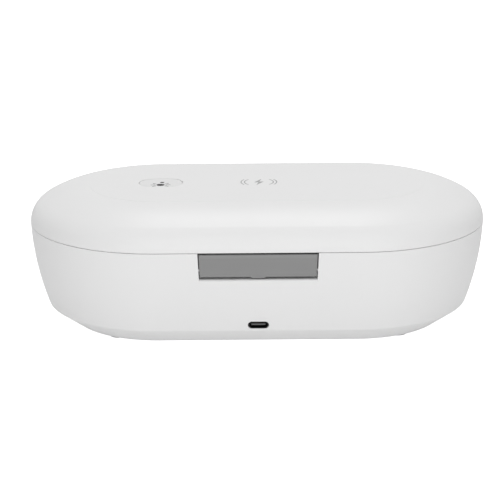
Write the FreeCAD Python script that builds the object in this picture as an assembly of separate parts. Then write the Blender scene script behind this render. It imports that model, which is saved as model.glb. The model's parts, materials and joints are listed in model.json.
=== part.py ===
import FreeCAD, Part
import math
import os

V = FreeCAD.Vector

# UV sanitizer box: a stadium-shaped casing with a hinged lid. Millimetres, +Z up, the rear faces +Y.
# The origin is under the middle of the box, on the surface that its feet stand on.

# Casing
LENGTH = 226.0
WIDTH = 130.0
BASE_HEIGHT = 49.7        # from the casing's underside to the parting plane
PARTING_GAP = 0.28
WALL = 2.2
UNDERSIDE_INSET = 19.5    # from the widest outline in to the flat underside
BEVEL_INSET = 7.5         # from the widest outline in to the top of the underside's bevel
BEVEL_RISE = 8.9
BEVEL_ROUND = 1.8
WALL_BULGE = 1.55         # how far the side wall bows out from its chord
RIM_ROUND = 0.3
LID_RISE = 16.95          # from the parting plane to the crease around the top
SHOULDER_INSET = 30.0     # from the widest outline in to that crease
SHOULDER_RADIUS = 12.4    # lower part of the shoulder, upright at the parting plane
CROWN = 0.35              # how far the top rises inside the crease
PANEL_STEP = 0.1          # raised edge of the top, just inside the crease
PANEL_STEP_RUN = 0.1
LID_EDGE_RUN = 1.7        # slope under the lid's wall, from its inner face out
LID_EDGE_RISE = 1.0

# Feet and the screws above them
FOOT_RADIUS = 4.5
FOOT_THICKNESS = 1.6
FOOT_PROUD = 0.8
FOOT_EDGE = 0.6           # from the foot to the edge of the flat underside
FOOT_ANGLE = 60.0         # round the end's centre, from the X axis
FOOT_ROUND = 0.3
BASE_SCREW_RADIUS = 1.45
BASE_SCREW_HEAD_RADIUS = 2.6
BASE_SCREW_HEAD = 1.8
BASE_SCREW_BITE = 7.0
BASE_BOSS_RADIUS = 4.2
BASE_BOSS = 3.0           # above the casing's floor
SCREW_CLEARANCE = 0.05
HOLE_CLEARANCE = 0.2

# Hinge
PIN_RADIUS = 1.0
PIN_DROP = 9.2            # from the parting plane down to the pin's axis
PIN_INSET = 3.5           # from the widest outline in to the pin's axis
PIN_RUNNING = 0.05
PIN_SEAT = 0.02
NOTCH_WIDTH = 56.4
NOTCH_TAPER = 0.5         # how much each side of the notch leans in towards its floor
NOTCH_SIDE_GAP = 0.4
NOTCH_BOTTOM_GAP = 1.3
NOTCH_TOP_GAP = 0.9
LEDGE_ROUND = 1.4
EAR = 3.2
POCKET_WALL = 1.5
POCKET_GAP = 0.4
BLOCK_RECESS = 0.25       # behind the casing's rear face
BARREL_RADIUS = 2.8
BLOCK_EDGE = 0.5          # rounding of the edges of the block's face
BROW_HEIGHT = 1.6         # top of the block's face, which leans in
BROW_LEAN = 0.3
NECK_THICKNESS = 3.4
NECK_FRONT = 1.0          # from the pin's axis in to the neck's rear side
NECK_WIDTH = 48.0
NECK_RISE = 8.0           # above the parting plane
TAB_WIDTH = 6.5
TAB_DROP = 0.55
TAB_SETBACK = 0.2
TAB_CHANNEL = 14.4        # length of the channel that the tab sweeps through
TAB_SWEEP_GAP = 0.25
BUSH_WALL = 0.5
BUSH_LENGTH = 8.0
HINGE_SCREW_PITCH = 16.0
HINGE_SCREW_COUNT = 3
HINGE_SCREW_RADIUS = 1.0
HINGE_SCREW_HEAD_RADIUS = 1.9
HINGE_SCREW_HEAD = 1.2
HINGE_SCREW_RISE = 3.6
HINGE_SCREW_COVER = 0.9   # wall left between the screw's tip and the outside

# Reflective tub in the base
TUB_INSET = 10.2
TUB_WALL = 1.4
TUB_FLOOR = 17.7          # top of the tub's floor, above the casing's underside
TUB_CORNER = 7.0
DECK = 1.6
DECK_DROP = 0.4           # from the rim of the base down to the deck's top
SEAT_GAP = 0.3
LIP_THICKNESS = 1.2
LIP_RISE = 1.5
LIP_GAP = 0.5
PILLAR_RADIUS = 3.2
REST_COUNT = 4
REST_WIDTH = 3.0
REST_HEIGHT = 4.0
REST_LENGTH = 72.0

# Ultraviolet lamps, alike in the base and the lid
LID_LED_ROW = 20.0        # from the middle of the lid to each row of lamps
BASE_LED_GAP = 0.9        # from the main board to the nearer row of lamps
LED_COUNT = 3
LED_SIZE = 3.5
LED_HEIGHT = 1.6
LED_END_MARGIN = 18.0     # from the last lamp to the end of its board
LED_BOARD_END_GAP = 12.6  # from that end to the boss of the lid's plate
LED_BOARD_WIDTH = 9.0
LED_BOARD = 1.0
LED_STANDOFF = 2.0
LED_STANDOFF_RADIUS = 2.2
WINDOW_RADIUS = 5.0
WINDOW = 1.0
WINDOW_GAP = 0.1
WINDOW_LEDGE = 1.0
SMALL_SCREW_RADIUS = 0.9
SMALL_SCREW_HEAD_RADIUS = 1.7
SMALL_SCREW_HEAD = 1.1
SMALL_SCREW_BITE = 2.0
SMALL_BOSS_RADIUS = 2.0

# USB-C receptacle and the board that carries it
USB_WIDTH = 8.94
USB_HEIGHT = 3.26
USB_DEPTH = 9.0
USB_SKIN = 0.3
USB_RISE = 12.2           # centre above the casing's underside
USB_RECESS = 0.25
USB_TONGUE_WIDTH = 6.7
USB_TONGUE = 0.75
USB_TONGUE_SETBACK = 0.9
USB_GAP = 0.3             # above and below the receptacle
USB_END_GAP = 0.55
BOARD_LENGTH = 62.0
BOARD_WIDTH = 28.0
BOARD = 1.6
BOARD_EDGE_GAP = 0.5      # from the board's rear edge to the casing's inside
BOARD_SCREW_INSET = 3.6
BOARD_BOSS_RADIUS = 2.6
CHIP_SIZE = 7.0
CHIP_HEIGHT = 1.0
INDUCTOR_SIZE = 6.0
INDUCTOR_HEIGHT = 3.0
CAPACITOR_LENGTH = 3.2
CAPACITOR_WIDTH = 1.6
CAPACITOR_HEIGHT = 1.2
CAPACITOR_COUNT = 3
CAPACITOR_PITCH = 4.0
SOCKET_LENGTH = 8.0
SOCKET_WIDTH = 4.0
SOCKET_HEIGHT = 3.0

# Lid's plate, charger and magnets
PLATE = 1.4
PLATE_RISE = 4.6          # underside of the plate above the parting plane
PLATE_GAP = 0.45
LINER_SCREW_INSET = 23.0  # from the widest outline
LINER_SCREW_ANGLE = 32.0
LINER_BOSS_RADIUS = 3.0
LINER_SCREW_BITE = 5.0
CHARGER_LENGTH = 60.0
CHARGER_WIDTH = 50.0
CHARGER_BOARD = 1.0
CHARGER_RISE = 11.0
CHARGER_SCREW_INSET = 3.5
FERRITE_RADIUS = 23.0
FERRITE = 0.8
COIL_OUTER = 21.5
COIL_INNER = 9.5
COIL = 1.3
CHARGER_CHIP = 5.0
CHARGER_CHIP_HEIGHT = 1.0
CHARGER_CHIP_PITCH = 24.0
MAGNET_RADIUS = 2.0
MAGNET = 1.5
MAGNET_PITCH = 40.0
MAGNET_INSET = 8.0
SENSOR_SIZE = 3.0
SENSOR_HEIGHT = 1.0

# Button
BUTTON_LENGTH = 21.6
BUTTON_WIDTH = 16.6
BUTTON_GAP = 0.22
BUTTON_RIM = 1.5          # flange that keeps the cap in the lid
BUTTON_FLANGE = 1.2
BUTTON_EDGE = 0.35
TRAVEL = 0.6
TRAVEL_SPARE = 0.4
PLUNGER_RADIUS = 1.6
PLUNGER_BITE = 1.0        # how far the plunger enters the switch
SWITCH_SIZE = 6.0
SWITCH_HEIGHT = 2.6
SWITCH_BORE_GAP = 0.2
BUTTON_BOARD = 1.0
BUTTON_BOARD_WIDTH = 14.0
BUTTON_BOSS_GAP = 0.4
BUTTON_BOARD_GAP = 0.88   # from the charger's board to the button's

# Wires
WIRE_RADIUS = 0.6
WIRE_BEND = 4.0
WIRE_DROP_START = 9.0     # from the charger's board to the bend down to the hinge
WIRE_DROP_RUN = 10.0

R = WIDTH / 2
SPINE = (LENGTH - WIDTH) / 2
Z_UNDER = FOOT_PROUD
Z_PART = Z_UNDER + BASE_HEIGHT
Z_RIM = Z_PART - PARTING_GAP / 2
Z_LID = Z_PART + PARTING_GAP / 2
Z_FLOOR = Z_UNDER + WALL
Z_TUB = Z_UNDER + TUB_FLOOR
Z_TUB_UNDER = Z_TUB - TUB_WALL
Z_DECK = Z_RIM - DECK_DROP
Z_DECK_UNDER = Z_DECK - DECK
Z_PLATE = Z_PART + PLATE_RISE
Z_PLATE_TOP = Z_PLATE + PLATE
Z_PIN = Z_PART - PIN_DROP
Y_PIN = R - PIN_INSET
Z_USB = Z_UNDER + USB_RISE
Z_BOARD_TOP = Z_USB - USB_HEIGHT / 2
Z_BOARD = Z_BOARD_TOP - BOARD
BIG = 2 * LENGTH


# Basic solids

def box(x, y, z):
    """Box from three (low, high) pairs."""
    return Part.makeBox(x[1] - x[0], y[1] - y[0], z[1] - z[0], V(x[0], y[0], z[0]))


def centred(cx, cy, length, width, z0, z1):
    """Upright box centred on (cx, cy)."""
    return box((cx - length / 2, cx + length / 2), (cy - width / 2, cy + width / 2), (z0, z1))


def post(x, y, z0, z1, radius):
    return Part.makeCylinder(radius, z1 - z0, V(x, y, z0))


def rod_x(x0, x1, y, z, radius):
    return Part.makeCylinder(radius, x1 - x0, V(x0, y, z), V(1, 0, 0))


def rod_y(x, y0, y1, z, radius):
    return Part.makeCylinder(radius, y1 - y0, V(x, y0, z), V(0, 1, 0))


def capsule(x, y, length, width, z0, z1):
    """Upright stadium prism, long in X."""
    reach = (length - width) / 2
    middle = centred(x, y, 2 * reach, width, z0, z1)
    ends = [post(x + side * reach, y, z0, z1, width / 2) for side in (-1, 1)]
    return middle.fuse(ends).removeSplitter()


def capsule_y(x, z, length, height, y0, y1):
    """Stadium prism lying along Y, long in X."""
    flat = capsule(0, 0, length, height, 0, y1 - y0)
    flat.rotate(V(0, 0, 0), V(1, 0, 0), -90)
    flat.translate(V(x, y0, z))
    return flat


def line(p, q):
    return Part.LineSegment(p, q).toShape()


def bowed(p, q, bow):
    """Arc from p to q that bows out from its chord, to the right of the way from p to q in (Y, Z)."""
    way = q.sub(p)
    side = V(0, way.z, -way.y).normalize()
    return Part.Arc(p, p.add(q).multiply(0.5).add(side.multiply(bow)), q).toShape()


def at(r, z):
    """Point of a section: r out from the spine, z up."""
    return V(0, r, z)


def chain(points):
    """Closed run of straight edges."""
    return [line(p, q) for p, q in zip(points, points[1:] + points[:1])]


def racetrack(edges):
    """Carry a section at X = 0 round the stadium: straight along the spine and turned about its ends."""
    face = Part.Face(Part.Wire(edges))
    rear = face.translated(V(-SPINE, 0, 0)).extrude(V(2 * SPINE, 0, 0))
    right = face.translated(V(SPINE, 0, 0)).revolve(V(SPINE, 0, 0), V(0, 0, -1), 180)
    front = rear.rotated(V(0, 0, 0), V(0, 0, 1), 180)
    left = right.rotated(V(0, 0, 0), V(0, 0, 1), 180)
    return rear.fuse([front, right, left]).removeSplitter()


def slab(inset, z0, z1):
    """Plate with the casing's plan, drawn in by inset."""
    return racetrack(chain([at(0, z0), at(R - inset, z0), at(R - inset, z1), at(0, z1)]))


def hoop(outer_inset, inner_inset, z0, z1):
    return racetrack(chain([at(R - inner_inset, z0), at(R - outer_inset, z0),
                            at(R - outer_inset, z1), at(R - inner_inset, z1)]))


def edges_at(shape, z):
    """Edges that lie in the level plane at z."""
    level = []
    for edge in shape.Edges:
        span = edge.BoundBox
        if abs(span.ZMin - z) < 1e-4 and abs(span.ZMax - z) < 1e-4:
            level.append(edge)
    return level


def screw_up(x, y, z_seat, grip, radius, head_radius, head):
    """Pan-head screw driven upwards: its head lies under z_seat and its shank above."""
    return post(x, y, z_seat - head, z_seat, head_radius).fuse(post(x, y, z_seat, z_seat + grip, radius))


def screw_down(x, y, z_seat, grip, radius, head_radius, head):
    return post(x, y, z_seat, z_seat + head, head_radius).fuse(post(x, y, z_seat - grip, z_seat, radius))


def mirrored_places(x, y):
    return [(sx * x, sy * y) for sx in (-1, 1) for sy in (-1, 1)]


def export(node, shapes):
    """Write one node, which is one solid or a group of alike solids."""
    group = shapes if isinstance(shapes, list) else [shapes]
    for shape in group:
        if not shape.isValid() or len(shape.Solids) != 1:
            raise RuntimeError(node + " isn't one sound solid")
    whole = group[0] if len(group) == 1 else Part.makeCompound(group)
    whole.exportStep("parts/" + node + ".step")


# Casing outlines

WALL_FOOT = at(R - BEVEL_INSET, Z_UNDER + BEVEL_RISE)
WALL_HEAD = at(R, Z_RIM)
WALL_EDGE = bowed(WALL_FOOT, WALL_HEAD, WALL_BULGE)


def wall_y(z):
    """Distance of the base's outer wall from the spine at height z."""
    circle = WALL_EDGE.Curve
    return circle.Center.y + math.sqrt(circle.Radius ** 2 - (z - circle.Center.z) ** 2)


def base_outside():
    underside = at(R - UNDERSIDE_INSET, Z_UNDER)
    axis_low = at(0, Z_UNDER)
    axis_high = at(0, Z_RIM)
    edges = [line(axis_low, underside), line(underside, WALL_FOOT), WALL_EDGE,
             line(WALL_HEAD, axis_high), line(axis_high, axis_low)]
    body = racetrack(edges)
    body = body.makeFillet(BEVEL_ROUND, edges_at(body, WALL_FOOT.z))
    return body.makeFillet(RIM_ROUND, edges_at(body, Z_RIM))


BEVEL_RUN = UNDERSIDE_INSET - BEVEL_INSET
BEVEL_LENGTH = math.hypot(BEVEL_RUN, BEVEL_RISE)


def bevel_inside_y(z):
    """Distance of the bevel's inner face from the spine at height z."""
    start_r = R - UNDERSIDE_INSET - WALL * BEVEL_RISE / BEVEL_LENGTH
    start_z = Z_UNDER + WALL * BEVEL_RUN / BEVEL_LENGTH
    return start_r + (z - start_z) * BEVEL_RUN / BEVEL_RISE


def base_inside():
    """Hollow of the base: the outside drawn in by the wall, and open at the top."""
    floor = at(bevel_inside_y(Z_FLOOR), Z_FLOOR)
    foot_r = R - BEVEL_INSET - WALL
    foot = at(foot_r, Z_FLOOR + (foot_r - floor.y) * BEVEL_RISE / BEVEL_RUN)
    head = at(R - WALL, Z_RIM)
    axis_low = at(0, Z_FLOOR)
    axis_high = at(0, Z_RIM)
    edges = [line(axis_low, floor), line(floor, foot), bowed(foot, head, WALL_BULGE),
             line(head, axis_high), line(axis_high, axis_low)]
    return racetrack(edges)


PANEL_REACH = R - SHOULDER_INSET - PANEL_STEP_RUN


def crown_z(y, skin):
    """Height of the lid's top at y, skin below the outside."""
    rise = CROWN - PANEL_STEP
    radius = (PANEL_REACH ** 2 + rise ** 2) / (2 * rise)
    return Z_PART + LID_RISE + CROWN - skin - radius + math.sqrt(radius ** 2 - y ** 2)


def lid_form(skin, z_open):
    """Solid under the lid's outside, drawn in by skin and closed at z_open."""
    spread = SHOULDER_INSET - SHOULDER_RADIUS
    upper_radius = (spread ** 2 + LID_RISE ** 2 - SHOULDER_RADIUS ** 2) / (2 * (LID_RISE - SHOULDER_RADIUS))
    lower = at(R - SHOULDER_RADIUS, Z_PART)
    upper = at(R - SHOULDER_INSET, Z_PART + LID_RISE - upper_radius)
    turn = math.atan2(lower.z - upper.z, lower.y - upper.y)

    def on_arc(centre, radius, angle):
        return at(centre.y + radius * math.cos(angle), centre.z + radius * math.sin(angle))

    low_r = SHOULDER_RADIUS - skin
    high_r = upper_radius - skin
    start = math.asin((z_open - Z_PART) / low_r)
    edge = on_arc(lower, low_r, start)
    join = on_arc(lower, low_r, turn)
    crease = on_arc(upper, high_r, math.pi / 2)
    panel_edge = at(PANEL_REACH, crease.z + PANEL_STEP)
    top = at(0, crown_z(0, skin))
    axis_low = at(0, z_open)
    edges = [line(axis_low, edge),
             Part.Arc(edge, on_arc(lower, low_r, (start + turn) / 2), join).toShape(),
             Part.Arc(join, on_arc(upper, high_r, (turn + math.pi / 2) / 2), crease).toShape(),
             line(crease, panel_edge),
             Part.Arc(panel_edge, at(PANEL_REACH / 2, crown_z(PANEL_REACH / 2, skin)), top).toShape(),
             line(top, axis_low)]
    return racetrack(edges)


def shoulder_y(z, skin):
    """Distance of the lid's lower shoulder from the spine at height z."""
    return R - SHOULDER_RADIUS + math.sqrt((SHOULDER_RADIUS - skin) ** 2 - (z - Z_PART) ** 2)


# Places that pieces share

FOOT_PLACES = mirrored_places(
    SPINE + (R - UNDERSIDE_INSET - FOOT_EDGE - FOOT_RADIUS) * math.cos(math.radians(FOOT_ANGLE)),
    (R - UNDERSIDE_INSET - FOOT_EDGE - FOOT_RADIUS) * math.sin(math.radians(FOOT_ANGLE)))
FOOT_NAMES = ["front_left", "rear_left", "front_right", "rear_right"]
Z_FOOT_TOP = FOOT_THICKNESS
Z_BASE_SCREW = Z_FOOT_TOP + BASE_SCREW_HEAD
Z_BOSS = Z_FLOOR + BASE_BOSS
BLOCK_BOTTOM = Z_PIN - BARREL_RADIUS
NOTCH_FLOOR = BLOCK_BOTTOM - NOTCH_BOTTOM_GAP
BLOCK_LOW_Y = wall_y(BLOCK_BOTTOM) - BLOCK_RECESS
TAB_Y = BLOCK_LOW_Y - TAB_SETBACK
TAB_SWEEP = math.hypot(TAB_Y - Y_PIN, BARREL_RADIUS + TAB_DROP)
POCKET_Y = Y_PIN - NECK_FRONT - NECK_THICKNESS - POCKET_GAP
EAR_X = NOTCH_WIDTH / 2 + EAR
NECK_Y = (Y_PIN - NECK_FRONT - NECK_THICKNESS, Y_PIN - NECK_FRONT)
BOARD_Y1 = bevel_inside_y(Z_BOARD) - BOARD_EDGE_GAP
BOARD_Y0 = BOARD_Y1 - BOARD_WIDTH
BOARD_MIDDLE = (BOARD_Y0 + BOARD_Y1) / 2
BOARD_SCREWS = [(sx * (BOARD_LENGTH / 2 - BOARD_SCREW_INSET), y)
                for sx in (-1, 1) for y in (BOARD_Y0 + BOARD_SCREW_INSET, BOARD_Y1 - BOARD_SCREW_INSET)]
USB_Y1 = wall_y(Z_USB) - USB_RECESS
USB_Y0 = USB_Y1 - USB_DEPTH
LINER_SCREW_X = SPINE + (R - LINER_SCREW_INSET) * math.cos(math.radians(LINER_SCREW_ANGLE))
LINER_SCREW_Y = (R - LINER_SCREW_INSET) * math.sin(math.radians(LINER_SCREW_ANGLE))
LINER_SCREWS = mirrored_places(LINER_SCREW_X, LINER_SCREW_Y)
LED_BOARD_LENGTH = 2 * (LINER_SCREW_X - LINER_BOSS_RADIUS - LED_BOARD_END_GAP)
LED_PITCH = (LED_BOARD_LENGTH - 2 * LED_END_MARGIN) / (LED_COUNT - 1)
BASE_LED_ROW = BOARD_Y0 - BASE_LED_GAP - LED_BOARD_WIDTH / 2


def led_places(row):
    return [((i - (LED_COUNT - 1) / 2) * LED_PITCH, sy * row) for sy in (-1, 1) for i in range(LED_COUNT)]


def led_screw_places(row):
    """Halfway between a rest and the next lamp, so that screws and windows stay apart."""
    return mirrored_places(LED_PITCH * 3 / 4, row)


CHARGER_SCREWS = mirrored_places(CHARGER_LENGTH / 2 - CHARGER_SCREW_INSET,
                                 CHARGER_WIDTH / 2 - CHARGER_SCREW_INSET)
Z_CHARGER = Z_PART + CHARGER_RISE
Z_CHARGER_TOP = Z_CHARGER + CHARGER_BOARD
MAGNET_Y = -(R - MAGNET_INSET)
MAGNET_PLACES = [(sx * MAGNET_PITCH / 2, MAGNET_Y) for sx in (-1, 1)]
BLOCK_HALF = NOTCH_WIDTH / 2 - NOTCH_SIDE_GAP - NOTCH_TAPER * (Z_RIM - Z_PIN) / (Z_RIM - NOTCH_FLOOR)
BUSH_BORE = PIN_RADIUS + PIN_RUNNING
BUSH_SPANS = [(-BLOCK_HALF, BUSH_LENGTH - BLOCK_HALF), (BLOCK_HALF - BUSH_LENGTH, BLOCK_HALF)]
HINGE_SCREW_XS = [(i - (HINGE_SCREW_COUNT - 1) / 2) * HINGE_SCREW_PITCH for i in range(HINGE_SCREW_COUNT)]
Z_HINGE_SCREW = Z_PART + HINGE_SCREW_RISE
Z_FLANGE_TOP = crown_z(BUTTON_WIDTH / 2 + BUTTON_RIM, WALL) - BUTTON_GAP
Z_FLANGE = Z_FLANGE_TOP - BUTTON_FLANGE
Z_SWITCH_TOP = Z_FLANGE - TRAVEL - TRAVEL_SPARE
Z_SWITCH = Z_SWITCH_TOP - SWITCH_HEIGHT
Z_BUTTON_BOARD = Z_SWITCH - BUTTON_BOARD
Z_PLUNGER = Z_SWITCH_TOP - PLUNGER_BITE
BUTTON_SCREW_REACH = BUTTON_LENGTH / 2 + BUTTON_RIM + BUTTON_GAP + BUTTON_BOSS_GAP + SMALL_BOSS_RADIUS
BUTTON_BOARD_HALF = BUTTON_SCREW_REACH + SMALL_BOSS_RADIUS
BUTTON_X = CHARGER_LENGTH / 2 + BUTTON_BOARD_GAP + BUTTON_BOARD_HALF
BUTTON_SCREWS = [(BUTTON_X + sx * BUTTON_SCREW_REACH, 0) for sx in (-1, 1)]


# Base

def notch_prism(clear, y0, y1, z0, z1):
    """Notch under the parting line, a little narrower at its floor, less clear at each side."""
    half_top = NOTCH_WIDTH / 2 - clear
    half_low = half_top - NOTCH_TAPER
    depth = Z_RIM - NOTCH_FLOOR
    low = half_low + NOTCH_TAPER * (z0 - NOTCH_FLOOR) / depth
    high = half_low + NOTCH_TAPER * (z1 - NOTCH_FLOOR) / depth
    corners = [V(-low, y0, z0), V(low, y0, z0), V(high, y0, z1), V(-high, y0, z1)]
    return Part.Face(Part.Wire(chain(corners))).extrude(V(0, y1 - y0, 0))


def ledge_cut():
    """What rounds the outer edge of the notch's floor."""
    face_y = wall_y(NOTCH_FLOOR)
    inner_y = face_y - LEDGE_ROUND
    inner_z = NOTCH_FLOOR - LEDGE_ROUND
    half = NOTCH_WIDTH / 2 - NOTCH_TAPER
    corner = box((-half, half), (inner_y, face_y + LEDGE_ROUND), (inner_z, NOTCH_FLOOR + NOTCH_BOTTOM_GAP))
    keep = box((-half, half), (inner_y - LEDGE_ROUND, inner_y), (inner_z, NOTCH_FLOOR))
    return corner.cut([rod_x(-half, half, inner_y, inner_z, LEDGE_ROUND), keep])


def base_shell():
    outside = base_outside()
    shell = outside.cut(base_inside())
    pocket = box((-EAR_X, EAR_X), (POCKET_Y - POCKET_WALL, R), (NOTCH_FLOOR - POCKET_WALL, Z_RIM))
    adds = [pocket.common(outside)]
    for x, y in FOOT_PLACES:
        adds.append(post(x, y, Z_FLOOR - WALL / 2, Z_BOSS, BASE_BOSS_RADIUS))
    for x, y in BOARD_SCREWS:
        adds.append(post(x, y, Z_UNDER + WALL / 2, Z_BOARD, BOARD_BOSS_RADIUS).common(outside))
    shell = shell.fuse(adds)
    cuts = [notch_prism(0, POCKET_Y, R + WALL, NOTCH_FLOOR, Z_RIM + WALL), ledge_cut()]
    cuts.append(rod_x(-EAR_X, EAR_X, Y_PIN, Z_PIN, PIN_RADIUS + PIN_SEAT))
    cuts.append(capsule_y(0, Z_USB, USB_WIDTH + 2 * USB_END_GAP, USB_HEIGHT + 2 * USB_GAP, USB_Y0, R + WALL))
    cuts.append(rod_x(-TAB_CHANNEL / 2, TAB_CHANNEL / 2, Y_PIN, Z_PIN, TAB_SWEEP + TAB_SWEEP_GAP))
    for x, y in FOOT_PLACES:
        cuts.append(post(x, y, 0, Z_FOOT_TOP, FOOT_RADIUS + SCREW_CLEARANCE))
        cuts.append(post(x, y, 0, Z_BASE_SCREW, BASE_SCREW_HEAD_RADIUS + HOLE_CLEARANCE))
        cuts.append(post(x, y, 0, Z_BOSS + WALL, BASE_SCREW_RADIUS + HOLE_CLEARANCE))
    for x, y in BOARD_SCREWS:
        cuts.append(post(x, y, Z_BOARD - SMALL_SCREW_BITE - SEAT_GAP, Z_BOARD,
                         SMALL_SCREW_RADIUS + SCREW_CLEARANCE))
    return shell.cut(cuts).removeSplitter()


def foot(x, y):
    pad = post(x, y, 0, Z_FOOT_TOP, FOOT_RADIUS)
    return pad.makeFillet(FOOT_ROUND, edges_at(pad, 0))


def rim_frame():
    """Deck round the tub's mouth, with a lip that stands inside the lid and a gap for the hinge."""
    deck = hoop(WALL + SEAT_GAP, TUB_INSET + TUB_WALL, Z_DECK_UNDER, Z_DECK)
    lip_inset = WALL + LIP_GAP
    lip = hoop(lip_inset, lip_inset + LIP_THICKNESS, Z_DECK_UNDER, Z_PART + LIP_RISE)
    gap_x = EAR_X + SEAT_GAP
    rear_gap = box((-gap_x, gap_x), (POCKET_Y - POCKET_WALL - SEAT_GAP, R), (0, BIG))
    return deck.fuse(lip).cut(rear_gap).removeSplitter()


def base_liner():
    """Reflective tub, with pillars for the casing's screws and standoffs for the lamps' boards."""
    tub = slab(TUB_INSET, Z_TUB_UNDER, Z_DECK_UNDER)
    tub = tub.makeFillet(TUB_CORNER, edges_at(tub, Z_TUB_UNDER))
    hollow = slab(TUB_INSET + TUB_WALL, Z_TUB, Z_DECK_UNDER)
    hollow = hollow.makeFillet(TUB_CORNER - TUB_WALL, edges_at(hollow, Z_TUB))
    adds = []
    for x, y in FOOT_PLACES:
        adds.append(post(x, y, Z_BOSS, Z_TUB_UNDER + TUB_WALL / 2, PILLAR_RADIUS))
    for x, y in led_screw_places(BASE_LED_ROW):
        adds.append(post(x, y, Z_TUB_UNDER - LED_STANDOFF, Z_TUB_UNDER + TUB_WALL / 2, LED_STANDOFF_RADIUS))
    cuts = [hollow]
    for x, y in FOOT_PLACES:
        cuts.append(post(x, y, Z_BOSS, Z_BOSS + BASE_SCREW_BITE + SEAT_GAP,
                         BASE_SCREW_RADIUS + SCREW_CLEARANCE))
    for x, y in led_screw_places(BASE_LED_ROW):
        cuts.append(post(x, y, Z_TUB_UNDER - LED_STANDOFF, Z_TUB_UNDER, SMALL_SCREW_RADIUS + SCREW_CLEARANCE))
    for x, y in led_places(BASE_LED_ROW):
        cuts.append(post(x, y, Z_TUB - WINDOW, Z_TUB, WINDOW_RADIUS + WINDOW_GAP))
        cuts.append(post(x, y, Z_TUB_UNDER, Z_TUB, WINDOW_RADIUS - WINDOW_LEDGE))
    return tub.fuse(adds).cut(cuts).removeSplitter()


def phone_rests():
    """Rounded ribs across the tub's floor, clear of the windows."""
    ribs = []
    for i in range(REST_COUNT):
        x = (i - (REST_COUNT - 1) / 2) * LED_PITCH / 2
        rib = capsule(0, 0, REST_LENGTH, REST_WIDTH, Z_TUB, Z_TUB + REST_HEIGHT)
        rib = rib.makeFillet(REST_WIDTH / 2 - SEAT_GAP, edges_at(rib, Z_TUB + REST_HEIGHT))
        rib.rotate(V(0, 0, 0), V(0, 0, 1), 90)
        ribs.append(rib.translated(V(x, 0, 0)))
    return ribs


def led_boards(row, z0):
    hole_radius = SMALL_SCREW_RADIUS + HOLE_CLEARANCE
    holes = [post(x, y, z0, z0 + LED_BOARD, hole_radius) for x, y in led_screw_places(row)]
    boards = [centred(0, sy * row, LED_BOARD_LENGTH, LED_BOARD_WIDTH, z0, z0 + LED_BOARD) for sy in (-1, 1)]
    return [board.cut(holes) for board in boards]


def led_dice(row, z0):
    return [centred(x, y, LED_SIZE, LED_SIZE, z0, z0 + LED_HEIGHT) for x, y in led_places(row)]


def led_windows(row, z0):
    return [post(x, y, z0, z0 + WINDOW, WINDOW_RADIUS) for x, y in led_places(row)]


def main_board():
    board = centred(0, BOARD_MIDDLE, BOARD_LENGTH, BOARD_WIDTH, Z_BOARD, Z_BOARD_TOP)
    holes = [post(x, y, Z_BOARD, Z_BOARD_TOP, SMALL_SCREW_RADIUS + HOLE_CLEARANCE) for x, y in BOARD_SCREWS]
    return board.cut(holes)


def usb_shell():
    """Drawn-steel sleeve, closed at its back."""
    sleeve = capsule_y(0, Z_USB, USB_WIDTH, USB_HEIGHT, USB_Y0, USB_Y1)
    bore = capsule_y(0, Z_USB, USB_WIDTH - 2 * USB_SKIN, USB_HEIGHT - 2 * USB_SKIN, USB_Y0 + USB_SKIN, USB_Y1)
    return sleeve.cut(bore)


def usb_tongue():
    half = USB_TONGUE_WIDTH / 2
    return box((-half, half), (USB_Y0 + USB_SKIN, USB_Y1 - USB_TONGUE_SETBACK),
               (Z_USB - USB_TONGUE / 2, Z_USB + USB_TONGUE / 2))


def on_board(x, y, length, width, height):
    return centred(x, y, length, width, Z_BOARD_TOP, Z_BOARD_TOP + height)


def board_capacitors():
    x = BOARD_LENGTH / 4
    y0 = BOARD_MIDDLE - CAPACITOR_PITCH
    return [on_board(x, y0 + i * CAPACITOR_PITCH, CAPACITOR_LENGTH, CAPACITOR_WIDTH, CAPACITOR_HEIGHT)
            for i in range(CAPACITOR_COUNT)]


SOCKET_X = BOARD_LENGTH / 2 - 2 * BOARD_SCREW_INSET - SOCKET_LENGTH / 2
SOCKET_Y = BOARD_Y0 + SOCKET_WIDTH / 2


def board_connectors():
    return [on_board(sx * SOCKET_X, SOCKET_Y, SOCKET_LENGTH, SOCKET_WIDTH, SOCKET_HEIGHT) for sx in (-1, 1)]


# Hinge

def hinge_pin():
    return rod_x(-EAR_X, EAR_X, Y_PIN, Z_PIN, PIN_RADIUS)


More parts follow.
